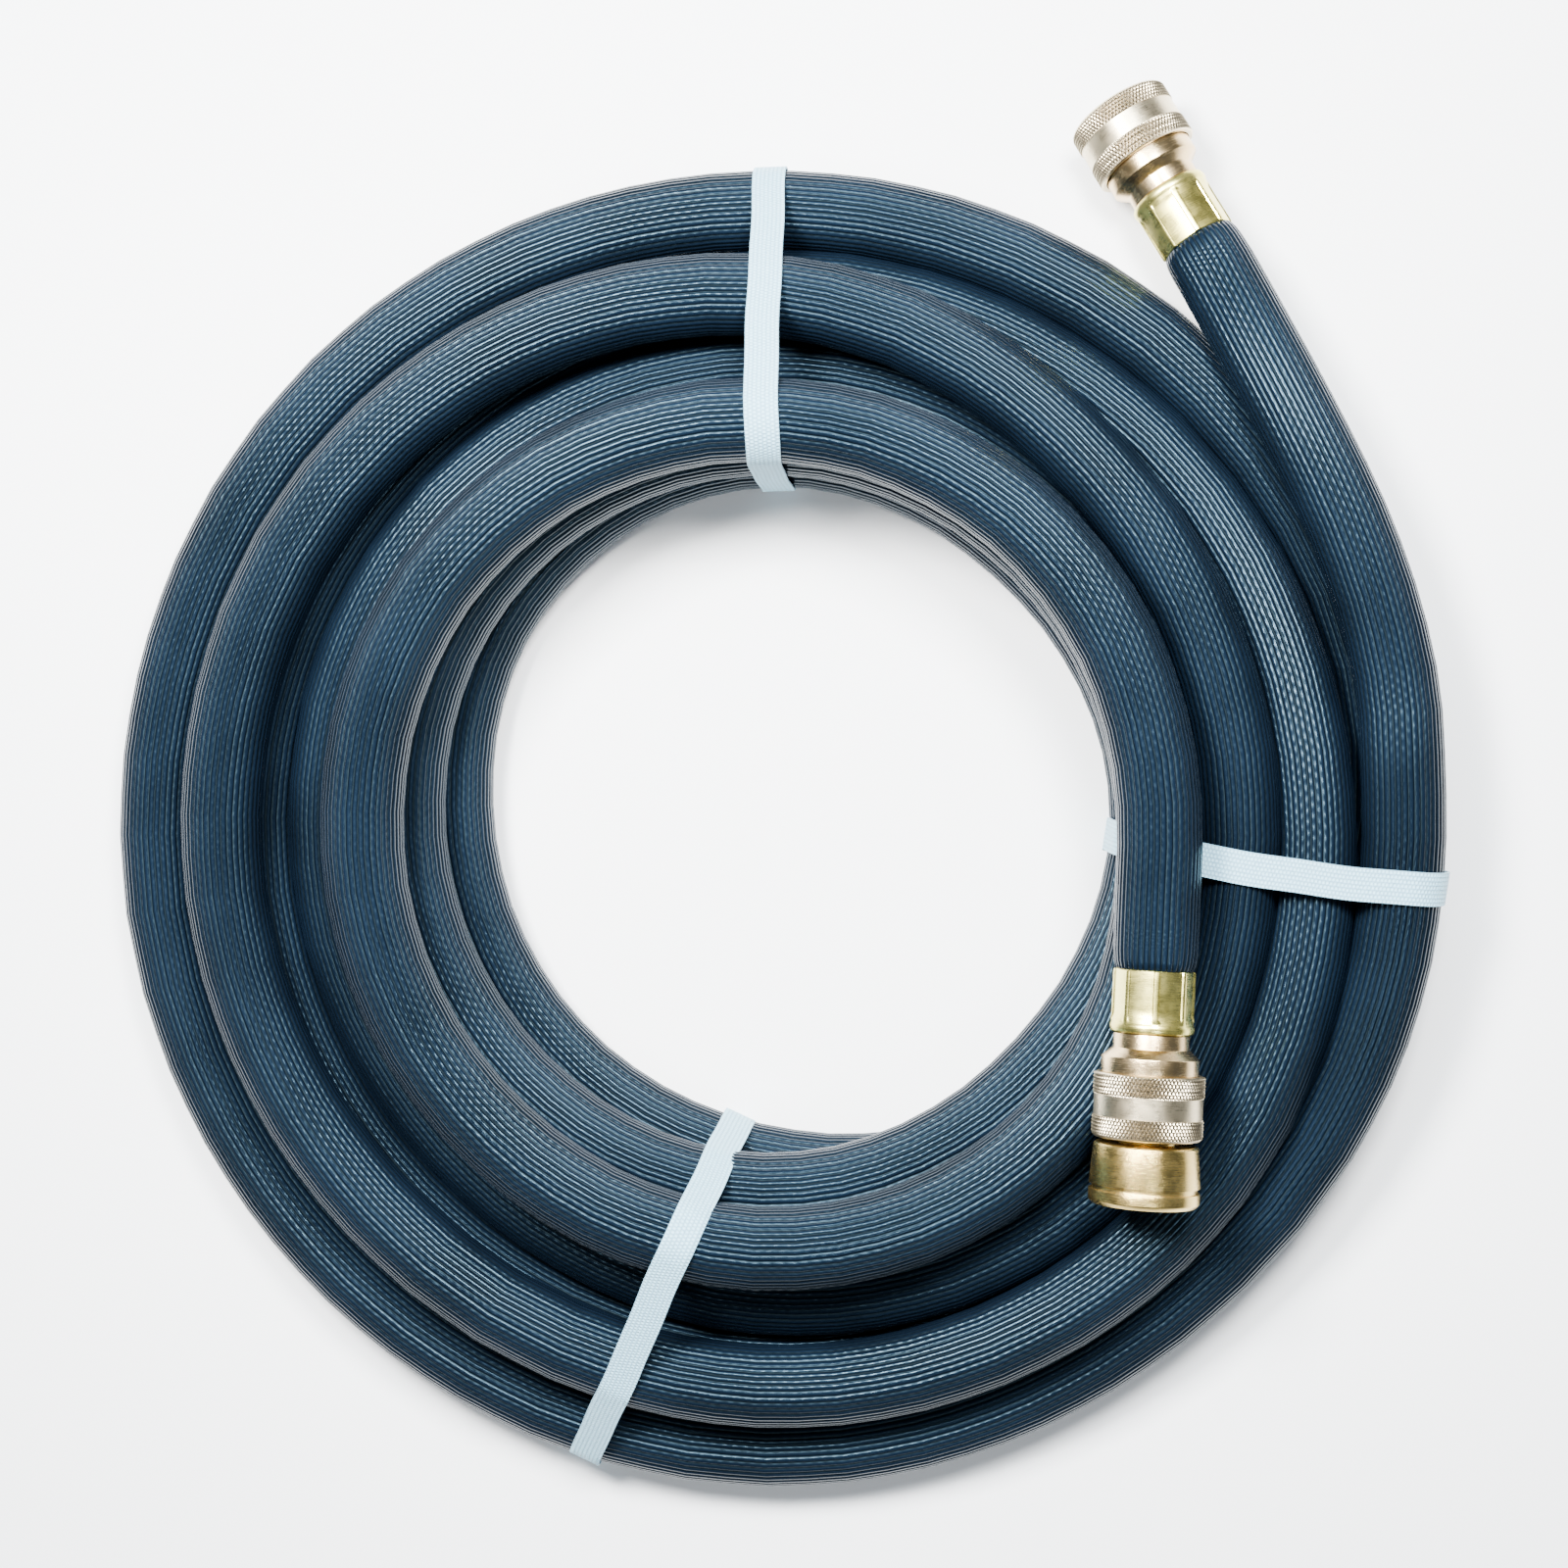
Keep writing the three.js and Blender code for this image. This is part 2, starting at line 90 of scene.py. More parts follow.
# The knurl: grooves round a collar, and the mesh that shows them.
KNURLS_ROUND = 88
KNURL_SAMPLES = 6
KNURL_ROWS = 21
KNURL_DEPTH = 0.45
KNURL_SLANT = math.radians(30)
KNURL_PITCH = 2 * math.pi * COLLAR_R / KNURLS_ROUND / math.tan(KNURL_SLANT)
PLAIN_R = COLLAR_R - 0.4


# ---------------------------------------------------------------- frames of the two connectors

def joint_axis(name):
    return next(Vector(joint["axis"]) for joint in frame["joints"] if joint["name"] == name)


def connector_frame(tag):
    """Millimetres: origin at the ferrule's back, Y along the connector, Z as upright as it can be."""
    axis = -joint_axis(f"collar_{tag}_slide").normalized()
    mesh = frame["nodes"][f"ferrule_{tag}"].data
    points = np.array([vertex.co for vertex in mesh.vertices]) / MM
    along = points @ np.array(axis)
    back = points[along < along.min() + 0.01].mean(0)
    level = axis.cross(UP).normalized()
    upright = level.cross(axis)
    basis = np.eye(4)
    basis[:3, 0], basis[:3, 1], basis[:3, 2], basis[:3, 3] = level, axis, upright, back
    return basis


FRAMES = {tag: connector_frame(tag) for tag in "ab"}


def placed(points, basis):
    return points @ basis[:3, :3].T + basis[:3, 3]


# ---------------------------------------------------------------- mesh helpers

def unit(vectors):
    return vectors / np.linalg.norm(vectors, axis=-1, keepdims=True)


def grid_faces(rows, columns, close_rows=False):
    """Quads over rows of points, each row closed into a ring."""
    i, j = np.meshgrid(np.arange(rows if close_rows else rows - 1), np.arange(columns), indexing="ij")
    i, j = i.ravel(), j.ravel()
    after, beside = (i + 1) % rows, (j + 1) % columns
    return np.stack([i * columns + j, i * columns + beside, after * columns + beside, after * columns + j], 1)


def grid_uv(rows, columns, across, along, close_rows=False):
    """The UV of each corner of grid_faces.

    across has columns + 1 values. along has one for each row, and one more if the rows close.
    """
    i, j = np.meshgrid(np.arange(rows if close_rows else rows - 1), np.arange(columns), indexing="ij")
    i, j = i.ravel(), j.ravel()
    corners = [(j, i), (j + 1, i), (j + 1, i + 1), (j, i + 1)]
    return np.stack([np.stack([across[a], along[b]], 1) for a, b in corners], 1).reshape(-1, 2)


def add_mesh(name, points, faces, uv, material, body, sharp=35):
    """A smooth piece that rides on a body. points are in millimetres, faces is a list of index lists."""
    mesh = bpy.data.meshes.new(name)
    mesh.from_pydata((np.asarray(points) * MM).tolist(), [], faces)
    layer = mesh.uv_layers.new(name="Surface")
    corners = np.zeros((len(mesh.loops), 2), np.float32)
    corners[: len(uv)] = uv
    layer.data.foreach_set("uv", corners.ravel())
    mesh.materials.append(material)
    mesh.shade_smooth()
    mesh.set_sharp_from_angle(angle=math.radians(sharp))
    mesh.validate()
    piece = bpy.data.objects.new(name, mesh)
    bpy.context.scene.collection.objects.link(piece)
    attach(piece, body)
    return piece


# ---------------------------------------------------------------- the collar's outline

def profile_lengths(profile):
    """How far round a closed profile each of its points lies, and last its whole length."""
    closed = np.vstack([profile, profile[:1]])
    return np.concatenate([[0], np.cumsum(np.linalg.norm(np.diff(closed, axis=0), axis=1))])


def knurled_rows(first, last):
    return [(station, COLLAR_R) for station in np.linspace(first, last, KNURL_ROWS)]


COLLAR_PROFILE = [
    (29.7, 14.3), (29.7, 15.3), (29.85, 15.6), (30.0, 15.8),
    *knurled_rows(COLLAR_BACK + 0.5, COLLAR_BACK + KNURL_LENGTH - 0.2),
    (35.9, 15.75), (35.95, PLAIN_R), (36.3, PLAIN_R), (39, PLAIN_R),
    (41.6, PLAIN_R), (41.95, PLAIN_R), (42, 15.75),
    *knurled_rows(COLLAR_FRONT - KNURL_LENGTH + 0.2, COLLAR_FRONT - 0.9),
    (47.7, 15.5), (48.1, 15.1), (48.2, 14.9), (48.2, 14.45), (48.05, 14.3),
    (44.8, 14.3), (44.8, 13.44), (41.5, 12.5), (39.2, 12.5), (39.2, 14.3),
]
COLLAR_LENGTHS = profile_lengths(COLLAR_PROFILE)
KNURLED = [k for k, (station, radius) in enumerate(COLLAR_PROFILE) if radius == COLLAR_R]
KNURL_BANDS = [
    (COLLAR_LENGTHS[rows[0]], COLLAR_LENGTHS[rows[-1]])
    for rows in (KNURLED[:KNURL_ROWS], KNURLED[KNURL_ROWS:])
]


# ---------------------------------------------------------------- materials

def new_material(name, base, roughness, metallic=0.0, **sockets):
    material = bpy.data.materials.new(name)
    material.use_nodes = True
    shader = material.node_tree.nodes["Principled BSDF"]
    shader.inputs["Base Color"].default_value = (*base, 1)
    shader.inputs["Roughness"].default_value = roughness
    shader.inputs["Metallic"].default_value = metallic
    for socket, value in sockets.items():
        shader.inputs[socket.replace("_", " ")].default_value = value
    return material, material.node_tree, shader


def add_node(tree, kind, inputs=(), **settings):
    node = tree.nodes.new("ShaderNode" + kind)
    for setting, value in settings.items():
        setattr(node, setting, value)
    for socket, value in dict(inputs).items():
        if isinstance(value, bpy.types.NodeSocket):
            tree.links.new(value, node.inputs[socket])
        else:
            node.inputs[socket].default_value = value
    return node


def maths(tree, operation, *values):
    node = add_node(tree, "Math", dict(enumerate(values)), operation=operation)
    return node.outputs[0]


def scaled(tree, value, factor):
    return maths(tree, "MULTIPLY", value, factor)


def humps(tree, value):
    """A row of round humps, one for each whole step of value."""
    return maths(tree, "ABSOLUTE", maths(tree, "SINE", scaled(tree, value, math.pi)))


def noise(tree, vector, scale, detail=3.0, roughness=0.5):
    inputs = {"Vector": vector, "Scale": scale, "Detail": detail, "Roughness": roughness}
    return add_node(tree, "TexNoise", inputs).outputs["Fac"]


def remap(tree, value, low, high, to_low, to_high):
    inputs = {"Value": value, "From Min": low, "From Max": high, "To Min": to_low, "To Max": to_high}
    return add_node(tree, "MapRange", inputs).outputs["Result"]


def ramp(tree, value, stops):
    """A colour ramp. stops are (position, (r, g, b))."""
    node = add_node(tree, "ValToRGB", {"Fac": value})
    elements = node.color_ramp.elements
    while len(elements) < len(stops):
        elements.new(0.5)
    for element, (position, colour) in zip(elements, stops):
        element.position = position
        element.color = (*colour, 1)
    return node.outputs["Color"]


def bump(tree, shader, height, strength, distance):
    """Adds a height, in units of distance, on top of any bump that the shader has."""
    inputs = {"Height": height, "Strength": strength, "Distance": distance}
    under = shader.inputs["Normal"].links
    if under:
        inputs["Normal"] = under[0].from_socket
    tree.links.new(add_node(tree, "Bump", inputs).outputs["Normal"], shader.inputs["Normal"])


def uv_parts(tree):
    """The two parts of the piece's UV: millimetres, or on the hose ribs and braid marks."""
    uv = add_node(tree, "UVMap", uv_map="Surface").outputs["UV"]
    parts = add_node(tree, "SeparateXYZ", {"Vector": uv})
    return parts.outputs["X"], parts.outputs["Y"]


def object_place(tree):
    return add_node(tree, "TexCoord").outputs["Object"]


def rubber_material():
    """Near-black rubber with a blue sheen: flat-topped ribs, with faint marks from the braid. Its colour
    carries painted shade, nearly black down in the rib grooves.
    """
    material, tree, shader = new_material(
        "ribbed_rubber", (0.012, 0.016, 0.022), 0.3,
        Specular_IOR_Level=0.2, Specular_Tint=(0.46, 0.78, 1.0, 1),
    )
    place = object_place(tree)
    rib, along = uv_parts(tree)
    patches = noise(tree, place, 28, detail=5)
    # Painted shade: the colour goes almost black in the rib grooves and lighter blue on the crests. The
    # patches also vary it at random.
    crest = maths(tree, "MINIMUM", scaled(tree, humps(tree, rib), 1.35), 1)
    tone = maths(tree, "MULTIPLY", crest, remap(tree, patches, 0.3, 0.7, 0.7, 1.0))
    colour = ramp(tree, tone, [(0.4, (0.0006, 0.001, 0.0016)), (0.95, (0.0028, 0.0066, 0.0135))])
    tree.links.new(colour, shader.inputs["Base Color"])
    grain = noise(tree, place, 900, detail=4)
    worn = remap(tree, patches, 0.3, 0.7, 0.17, 0.25)
    worn = maths(tree, "ADD", worn, remap(tree, grain, 0.3, 0.7, -0.03, 0.04))
    dull_grooves = remap(tree, crest, 0.2, 0.9, 0.35, 0)
    tree.links.new(maths(tree, "ADD", worn, dull_grooves), shader.inputs["Roughness"])
    shift = scaled(tree, maths(tree, "FLOOR", rib), 0.5)
    wobble = remap(tree, noise(tree, place, 60), 0.3, 0.7, -0.15, 0.15)
    phase = maths(tree, "ADD", maths(tree, "ADD", along, shift), wobble)
    marks = maths(tree, "SINE", scaled(tree, phase, 2 * math.pi))
    bump(tree, shader, crest, 1.0, 0.00014)
    bump(tree, shader, maths(tree, "MULTIPLY", marks, crest), 1.0, 0.000025)
    bump(tree, shader, grain, 0.2, 0.00004)
    return material


def webbing_material():
    """Bluish white woven tape: raised warp cords, crossed by a finer weft. Its colour carries painted shade,
    darker in the gaps between the cords.
    """
    material, tree, shader = new_material("woven_tape", (0.8, 0.86, 0.93), 0.7, Sheen_Weight=0.2)
    place = object_place(tree)
    across, along = uv_parts(tree)
    warp = scaled(tree, across, 1 / WARP_PITCH)
    every_other = scaled(tree, maths(tree, "FLOOR", warp), 0.5)
    weft = maths(tree, "ADD", scaled(tree, along, 1 / WEFT_PITCH), every_other)
    weave = maths(tree, "MULTIPLY", humps(tree, warp), humps(tree, weft))
    fluff = noise(tree, place, 1600, detail=5)
    # Painted shade: the colour is darkest where the weave sinks between the cords. The fluff adds random
    # tone.
    tone = remap(tree, weave, 0, 1, 0.1, 0.8)
    tone = maths(tree, "ADD", tone, remap(tree, fluff, 0.3, 0.7, -0.1, 0.2))
    stops = [(0.0, (0.14, 0.28, 0.38)), (0.5, (0.26, 0.50, 0.62)), (1.0, (0.38, 0.68, 0.80))]
    colour = ramp(tree, tone, stops)
    tree.links.new(colour, shader.inputs["Base Color"])
    bump(tree, shader, weave, 0.9, 0.00022)
    bump(tree, shader, fluff, 0.6, 0.0001)
    return material


def brass_material(name, dark, light, roughness, lines):
    """Turned brass: its tone drifts, and fine tool lines run round it."""
    material, tree, shader = new_material(name, light, roughness, 1.0)
    place = object_place(tree)
    around, along = uv_parts(tree)
    drift = noise(tree, place, 70, detail=4)
    tree.links.new(ramp(tree, drift, [(0.3, dark), (0.65, light)]), shader.inputs["Base Color"])
    drawn_out = {"X": scaled(tree, around, 0.03), "Y": along}
    rings = noise(tree, add_node(tree, "CombineXYZ", drawn_out).outputs[0], 7, detail=5, roughness=0.7)
    smudges = noise(tree, place, 260, detail=5)
    polish = remap(tree, rings, 0.3, 0.7, -0.06, 0.08)
    polish = maths(tree, "ADD", polish, remap(tree, smudges, 0.3, 0.7, -0.04, 0.06))
    tree.links.new(maths(tree, "ADD", polish, roughness), shader.inputs["Roughness"])
    bump(tree, shader, rings, lines, 0.00006)
    bump(tree, shader, smudges, 0.15, 0.00004)
    return material


def knurled_brass():
    """The collar's brass, darker along the knurl's two families of grooves."""
    material = brass_material("collar_brass", (0.64, 0.53, 0.34), (0.74, 0.62, 0.42), 0.3, 0.4)
    tree = material.node_tree
    shader = tree.nodes["Principled BSDF"]
    around, along = uv_parts(tree)
    turns = scaled(tree, around, KNURLS_ROUND / (2 * math.pi * CRIMPED_R))
    lift = scaled(tree, along, 1 / KNURL_PITCH)
    in_a_band = 0.0
    for first, last in KNURL_BANDS:
        middle, half = (first + last) / 2, (last - first) / 2
        offset = maths(tree, "ABSOLUTE", maths(tree, "SUBTRACT", along, middle))
        in_a_band = maths(tree, "ADD", in_a_band, maths(tree, "LESS_THAN", offset, half))
    grooves = []
    for sign in (-1, 1):
        place = maths(tree, "ADD", turns, scaled(tree, lift, sign))
        grooves.append(maths(tree, "ABSOLUTE", maths(tree, "COSINE", scaled(tree, place, math.pi))))
    depth = maths(tree, "MULTIPLY", maths(tree, "MAXIMUM", *grooves), in_a_band)
    shade = {"Fac": remap(tree, depth, 0.6, 0.95, 0, 0.9), "Color2": (0.07, 0.05, 0.03, 1)}
    shade["Color1"] = shader.inputs["Base Color"].links[0].from_socket
    tree.links.new(add_node(tree, "MixRGB", shade).outputs[0], shader.inputs["Base Color"])
    return material


def plain_material(name, dark, light, roughness, metallic, scale):
    """A small part that keeps its CAD mesh: its tone and polish drift."""
    material, tree, shader = new_material(name, light, roughness, metallic)
    place = object_place(tree)
    drift = noise(tree, place, scale, detail=5)
    tree.links.new(ramp(tree, drift, [(0.35, dark), (0.65, light)]), shader.inputs["Base Color"])
    polish = remap(tree, drift, 0.3, 0.7, roughness + 0.08, roughness - 0.05)
    tree.links.new(polish, shader.inputs["Roughness"])
    bump(tree, shader, drift, 0.3, 0.00005)
    return material


RUBBER = rubber_material()
WEBBING = webbing_material()
FERRULE_BRASS = brass_material("crimped_brass", (0.80, 0.68, 0.17), (0.90, 0.80, 0.26), 0.26, 0.2)
SATIN_BRASS = brass_material("satin_brass", (0.66, 0.46, 0.22), (0.76, 0.56, 0.30), 0.22, 0.5)
COLLAR_BRASS = knurled_brass()
ADAPTOR_BRASS = brass_material("golden_brass", (0.66, 0.46, 0.14), (0.74, 0.54, 0.19), 0.24, 0.8)
JAW_BRASS = plain_material("jaw_brass", (0.5, 0.36, 0.15), (0.75, 0.57, 0.28), 0.3, 1.0, 300)
SPRING_STEEL = plain_material("spring_steel", (0.4, 0.41, 0.43), (0.65, 0.66, 0.68), 0.28, 1.0, 300)
SEAL_RUBBER = plain_material("seal_rubber", (0.008, 0.008, 0.01), (0.02, 0.02, 0.024), 0.5, 0.0, 400)


# ---------------------------------------------------------------- the hose's route

# Loose length A, from its ferrule to the coil. Places are from the coil's centre.
ROUTE_A = [
    (141, 152, 29.8),
    (149, 136, 33.6),
    (160, 114, 36.2),
    (174, 83, 37.1),
    (185.6, 40, 37.1),
]
# The coil, clockwise from end A: (radius, height) at every eighth of each turn. Each turn
# lies on, beside or across the ones before it.
TURNS = [
    [
        (187, 37.1), (187.4, 20), (193, 12.3), (194.5, 12.3),
        (196.2, 12.3), (195, 12.3), (190.6, 12.3), (187.5, 12.3),
    ],
    [
        (184, 12.3), (164.5, 12.3), (166, 12.3), (164, 12.3),
        (164, 12.3), (164, 12.3), (166.4, 12.3), (163.8, 18.5),
    ],
    [
        (161.5, 33), (167, 36.8), (168.5, 36.8), (167.2, 36.8),
        (169, 36.8), (168.5, 36.8), (160.5, 36.8), (144.2, 36.8),
    ],
    [
        (139.3, 36.6), (145, 31), (143.5, 28), (138.5, 26),
        (139.5, 26), (141.5, 25), (141, 15), (138, 12.3),
    ],
    [
        (141, 12.3), (119, 12.3), (104, 12.3), (98.8, 12.3),
        (101.7, 12.3), (112.5, 12.3), (118.5, 12.3), (115, 12.3),
    ],
    [
        (117.5, 13), (117, 26), (113, 36.2), (110, 36.4),
        (112, 36.4), (117.5, 36.6), (118.6, 36.8), (116.2, 36.8),
    ],
    [
        (115.5, 36), (121, 48), (122.4, 60), (120, 61.5),
        (120.2, 61.5), (122, 61.5), (120, 61.5), (117, 61),
    ],
]
END_OF_COIL = (114.3, 62.0)


def catmull_rom(points, steps):
    points = np.array(points, float)
    points = np.vstack([2 * points[0] - points[1], points, 2 * points[-1] - points[-2]])
    t = (np.arange(steps) / steps)[:, None]
    spans = []
    for a, b, c, d in zip(points, points[1:], points[2:], points[3:]):
        bend = (2 * a - 5 * b + 4 * c - d) * t**2
        twist = (3 * b - a - 3 * c + d) * t**3
        spans.append(0.5 * (2 * b + (c - a) * t + bend + twist))
    return np.vstack([*spans, points[-2]])


def length_along(points):
    return np.concatenate([[0], np.cumsum(np.linalg.norm(np.diff(points, axis=0), axis=1))])


def evenly_spaced(points, step):
    along = length_along(points)
    places = np.linspace(0, along[-1], round(along[-1] / step) + 1)
    return np.stack([np.interp(places, along, points[:, k]) for k in range(3)], 1)


def smooth_along(moves, reach=12, width=4.0):
    weights = np.exp(-0.5 * (np.arange(-reach, reach + 1) / width) ** 2)
    padded = np.pad(moves, ((reach, reach), (0, 0)), mode="edge")
    return np.stack([np.convolve(padded[:, k], weights / weights.sum(), "valid") for k in range(3)], 1)


def drawn_route():
    """The route through the stations, from the back of ferrule A to the back of ferrule B."""
    def polar(point, turn):
        x, y, z = point
        return math.atan2(y, x) + 2 * math.pi * turn, math.hypot(x, y), z

    back_a, back_b = (FRAMES[tag][:3, 3] - COIL_CENTRE for tag in "ab")
    axis_a, axis_b = (FRAMES[tag][:3, 1] for tag in "ab")
    head = [polar(p, 0) for p in [back_a, back_a - LEAD_IN * axis_a, *ROUTE_A]]
    tail = [polar(p, -len(TURNS)) for p in [back_b - LEAD_IN * axis_b, back_b]]
    stations = [station for turn in TURNS for station in turn] + [END_OF_COIL]
    coil = [(-k * math.pi / 4, radius, height) for k, (radius, height) in enumerate(stations)]
    angle, radius, height = catmull_rom(head + coil + tail, 6).T
    line = np.stack([radius * np.cos(angle), radius * np.sin(angle), height], 1)
    return evenly_spaced(line, ROUTE_STEP)


def settled_route(rounds=260, step_down=0.15, hold=(0.05, 0.05, 0.03), push_share=0.175):
    """The drawn route after the hose has dropped onto itself.

    Each round the hose sinks a little, is held near the drawn route, and turns that touch push
    each other apart. Its two ends stay in their ferrules.
    """
    goal = drawn_route()
    line = goal.copy()
    place = np.arange(len(line)) * ROUTE_STEP
    free = (np.clip((place - 60) / 150, 0, 1) * np.clip((place[-1] - place - 20) / 120, 0, 1))[:, None]
    first, second = np.triu_indices(len(line), 8)
    for k in range(rounds):
        if k % 20 == 0:
            near = (np.abs(line[first] - line[second]) < 40).all(1)
            ones, others = first[near], second[near]
        line[:, 2] -= step_down * free[:, 0]
        line += (goal - line) * np.array(hold)
        for _ in range(2):
            apart = line[ones] - line[others]
            distance = np.linalg.norm(apart, axis=1)
            hit = distance < TOUCHING
            push = apart[hit] / distance[hit, None] * (push_share * (TOUCHING - distance[hit]))[:, None]
            move = np.zeros_like(line)
            np.add.at(move, ones[hit], push)
            np.add.at(move, others[hit], -push)
            line += move * free
            line[:, 2] = np.maximum(line[:, 2], FLOOR_Z)
        moved = line - goal
        line = goal + (0.7 * smooth_along(moved) + 0.3 * moved) * free
        line[:, 2] = np.maximum(line[:, 2], FLOOR_Z)
    return evenly_spaced(line, RING_STEP) + COIL_CENTRE


ROUTE = settled_route()


# ---------------------------------------------------------------- straps

# Each strap's plan line, from inside the coil to outside it, and how far its middle is
# drawn sideways over the hoses.
STRAPS = {
    "top": ((0.3, 94), (-1.8, 201.5)),
    "right": ((94, -1), (202, -17.6)),
    "lower": ((-12.9, -93), (-58.1, -192.5)),
}
STRAP_BOWS = {"top": 0.0, "right": 3.0, "lower": -0.8}
LOOSE_END = 150  # length of hose before connector B that the right strap runs under


def strap_plane(name):
    """Where a strap starts, and the directions along it and across it."""
    inner, outer = (np.array([*point, 0.0]) + COIL_CENTRE for point in STRAPS[name])
    along = unit(outer - inner)
    return inner, along, np.cross(along, UP)


def hose_sections(name):
    """(distance along, height) of each length of hose that a strap goes round."""
    start, along, across = strap_plane(name)
    line = ROUTE[: -int(LOOSE_END / RING_STEP)] if name == "right" else ROUTE
    side = (line - start) @ across
    i = np.flatnonzero(side[:-1] * side[1:] < 0)
    share = (side[i] / (side[i] - side[i + 1]))[:, None]
    crossing = line[i] * (1 - share) + line[i + 1] * share
    distance = (crossing - start) @ along
    return [(d, point[2]) for d, point in zip(distance, crossing) if d > -5]


def convex_hull(points):
    def chain(ordered):
        kept = []
        for p in ordered:
            while len(kept) > 1 and (
                (kept[-1][0] - kept[-2][0]) * (p[1] - kept[-2][1])
                <= (kept[-1][1] - kept[-2][1]) * (p[0] - kept[-2][0])
            ):
                kept.pop()
            kept.append(p)
        return kept[:-1]

    ordered = sorted(map(tuple, points))
    return np.array(chain(ordered) + chain(ordered[::-1]))


def strap_loop(name, step=1.2):
    """A strap's middle line in its own plane, pulled tight round the hose: (distance along, height)."""
    angles = np.linspace(0, 2 * math.pi, 72, endpoint=False)
    reach = HOSE_R + STRAP_GAP + STRAP_HALF_THICK
    circle = reach * np.stack([np.cos(angles), np.sin(angles)], 1)
    outline = convex_hull(np.vstack([circle + section for section in hose_sections(name)]))
    outline[:, 1] = np.maximum(outline[:, 1], STRAP_LOW)
    closed = np.column_stack([np.vstack([outline, outline[:1]]), np.zeros(len(outline) + 1)])
    return evenly_spaced(closed, step)[:-1, :2]


def strap(name):
    start, along, across = strap_plane(name)
    loop = strap_loop(name)
    count = len(loop)
    tangent = unit(np.roll(loop, -1, 0) - np.roll(loop, 1, 0))
    outward = np.stack([tangent[:, 1], -tangent[:, 0]], 1)
    half = STRAP_WIDTH / 2
    widths = half * np.array([-1, -0.97, -0.66, -0.33, 0, 0.33, 0.66, 0.97, 1])
    lifts = STRAP_HALF_THICK * np.array([0.35, 1, 1, 1, 1, 1, 1, 1, 0.35])
    section_width = np.concatenate([widths, widths[::-1]])
    section_lift = np.concatenate([lifts, -lifts[::-1]])
    place = np.arange(count)
    share = (loop[:, 0] - loop[:, 0].min()) / np.ptp(loop[:, 0])
    bow = STRAP_BOWS[name] * np.sin(math.pi * share)
    wave = bow + 0.2 * np.sin(place * 0.11) + 0.1 * np.sin(place * 0.27 + 1)
    flat = loop[:, None, :] + outward[:, None, :] * section_lift[None, :, None]
    sideways = section_width[None, :] + wave[:, None]
    points = start + flat[..., :1] * along + sideways[..., None] * across
    points = points + flat[..., 1:] * np.array(UP)
    columns = len(section_width)
    length = length_along(np.column_stack([np.vstack([loop, loop[:1]]), np.zeros(count + 1)]))
    uv = grid_uv(count, columns, np.append(section_width, section_width[0]), length, close_rows=True)
    faces = grid_faces(count, columns, close_rows=True).tolist()
    piece = add_mesh(f"tape_{name}", points.reshape(-1, 3), faces, uv, WEBBING, "hose", 60)
    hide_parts(f"strap_{name}")
    return piece, length[-1]


# ---------------------------------------------------------------- hose

# How the hose is reduced into a ferrule: (station, radius, share of the rib depth), from the
# bottom of its bore out to its full size.
REDUCED_END = [
    (0.4, HOSE_BORE_R, 0),
    (HOSE_END, HOSE_BORE_R, 0),
    (HOSE_END, CRIMPED_R, 0),
    (0.2, CRIMPED_R, 0),
    (-0.4, 11.3, 0.7),
    (-2.5, 11.85, 1),
    (-5.5, 12.15, 1),
]


def ring_normals(tangents, first):
    """A normal for each ring, carried along without turning about the hose."""
    normals = []
    normal = first
    for tangent in tangents:
        normal = unit(normal - (normal @ tangent) * tangent)
        normals.append(normal)
    return np.array(normals)


def pressed_by_straps(points):
    """The rubber gives where a strap runs under it."""
    for name in STRAPS:
        start, along, across = strap_plane(name)
        from_start = points - start
        under = (np.abs(from_start @ across) < STRAP_WIDTH / 2 + 1.5) & (from_start @ along > -5)
        lowest = STRAP_LOW + STRAP_HALF_THICK + 0.1
        points[under, 2] = np.maximum(points[under, 2], lowest)
    return points


